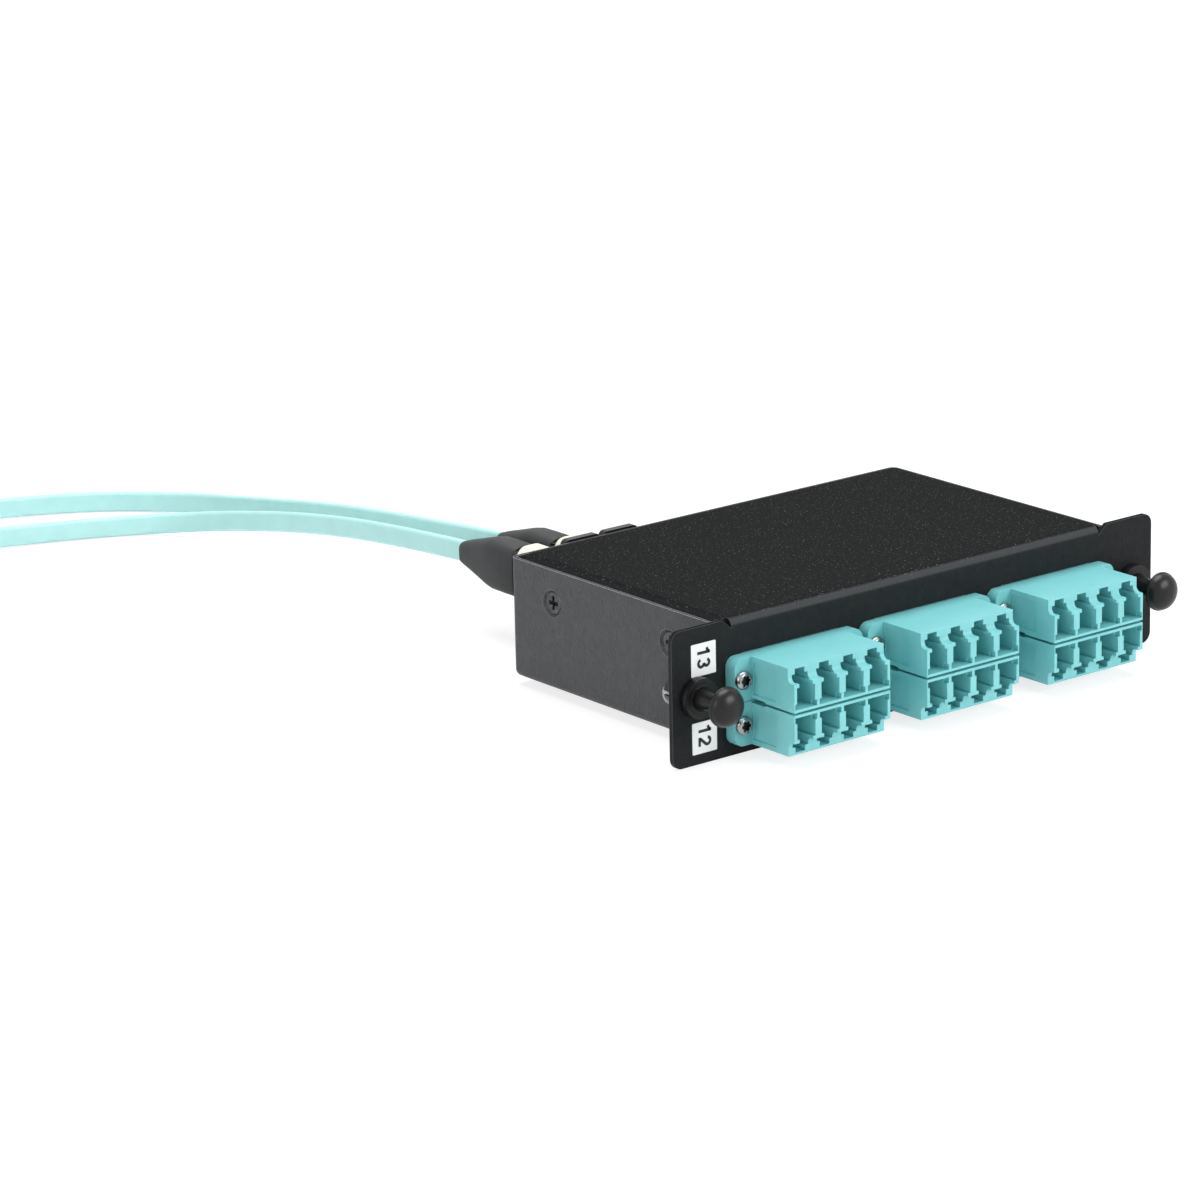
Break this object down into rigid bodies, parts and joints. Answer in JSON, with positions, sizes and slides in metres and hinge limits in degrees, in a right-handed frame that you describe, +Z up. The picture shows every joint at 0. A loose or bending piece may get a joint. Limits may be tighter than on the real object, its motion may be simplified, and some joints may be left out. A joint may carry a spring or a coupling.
{
  "type": "fibre cassette",
  "caption": "Flat pre-terminated fibre cassette with quad LC adapters in front, panel plungers and two trunk cords at the rear.",
  "frame": {"origin": "middle of the base of the bounding box measured without the trunk cords; the faceplate's lower edge is at z = 0", "axes": "+X along the faceplate to the right seen from the front, +Y from the faceplate to the rear, +Z up"},
  "size_m": [0.2512, 0.3284, 0.0281],
  "materials": {
    "powder_coat": "fine speckled satin",
    "aqua_plastic": "satin",
    "bright_steel": "bright",
    "black_steel": "satin",
    "black_plastic": "satin",
    "soft_boot": "matte",
    "cream_plastic": "matte",
    "aqua_jacket": "matte",
    "black_strap": "woven"
  },
  "bodies": {
    "cassette": {"adapter_screws": "bright_steel", "base_tray": "powder_coat", "boot_left": "soft_boot", "boot_right": "soft_boot", "coil_far": "aqua_jacket", "coil_near": "aqua_jacket", "cord_far": "aqua_jacket", "cord_near": "aqua_jacket", "cover_faceplate": "powder_coat", "far_boot_far": "soft_boot", "far_boot_near": "soft_boot", "far_lead_far": "aqua_jacket", "far_lead_near": "aqua_jacket", "far_plug_far": "black_plastic", "far_plug_near": "black_plastic", "far_sleeve_far": "cream_plastic", "far_sleeve_near": "cream_plastic", "grommet_left": "black_plastic", "grommet_right": "black_plastic", "inner_boot_left": "soft_boot", "inner_boot_right": "soft_boot", "inner_lc_plugs_lower": "aqua_plastic", "inner_lc_plugs_upper": "aqua_plastic", "inner_plug_left": "black_plastic", "inner_plug_right": "black_plastic", "lc_adapter_lower_left": "aqua_plastic", "lc_adapter_lower_middle": "aqua_plastic", "lc_adapter_lower_right": "aqua_plastic", "lc_adapter_upper_left": "aqua_plastic", "lc_adapter_upper_middle": "aqua_plastic", "lc_adapter_upper_right": "aqua_plastic", "mpo_adapter_left": "black_plastic", "mpo_adapter_right": "black_plastic", "mpo_adapter_screws": "bright_steel", "mpo_plug_left": "black_plastic", "mpo_plug_right": "black_plastic", "side_rivets": "black_steel", "side_screws": "black_steel", "tie_far": "black_strap", "tie_near": "black_strap"},
    "plunger_left": {"plunger_left": "black_plastic"},
    "plunger_right": {"plunger_right": "black_plastic"},
    "coupling_sleeve_left": {"coupling_sleeve_left": "cream_plastic"},
    "coupling_sleeve_right": {"coupling_sleeve_right": "cream_plastic"}
  },
  "joints": [
    {"name": "plunger_left_push", "type": "slide", "parent": "cassette", "child": "plunger_left", "axis": [0, 1, 0], "range_m": [0, 0.0045]},
    {"name": "plunger_right_push", "type": "slide", "parent": "cassette", "child": "plunger_right", "axis": [0, 1, 0], "range_m": [0, 0.0045]},
    {"name": "coupling_sleeve_left_release", "type": "slide", "parent": "cassette", "child": "coupling_sleeve_left", "axis": [0, 1, 0], "range_m": [0, 0.0015], "stiffness_N_per_m": 200},
    {"name": "coupling_sleeve_right_release", "type": "slide", "parent": "cassette", "child": "coupling_sleeve_right", "axis": [0, 1, 0], "range_m": [0, 0.0015], "stiffness_N_per_m": 200}
  ]
}
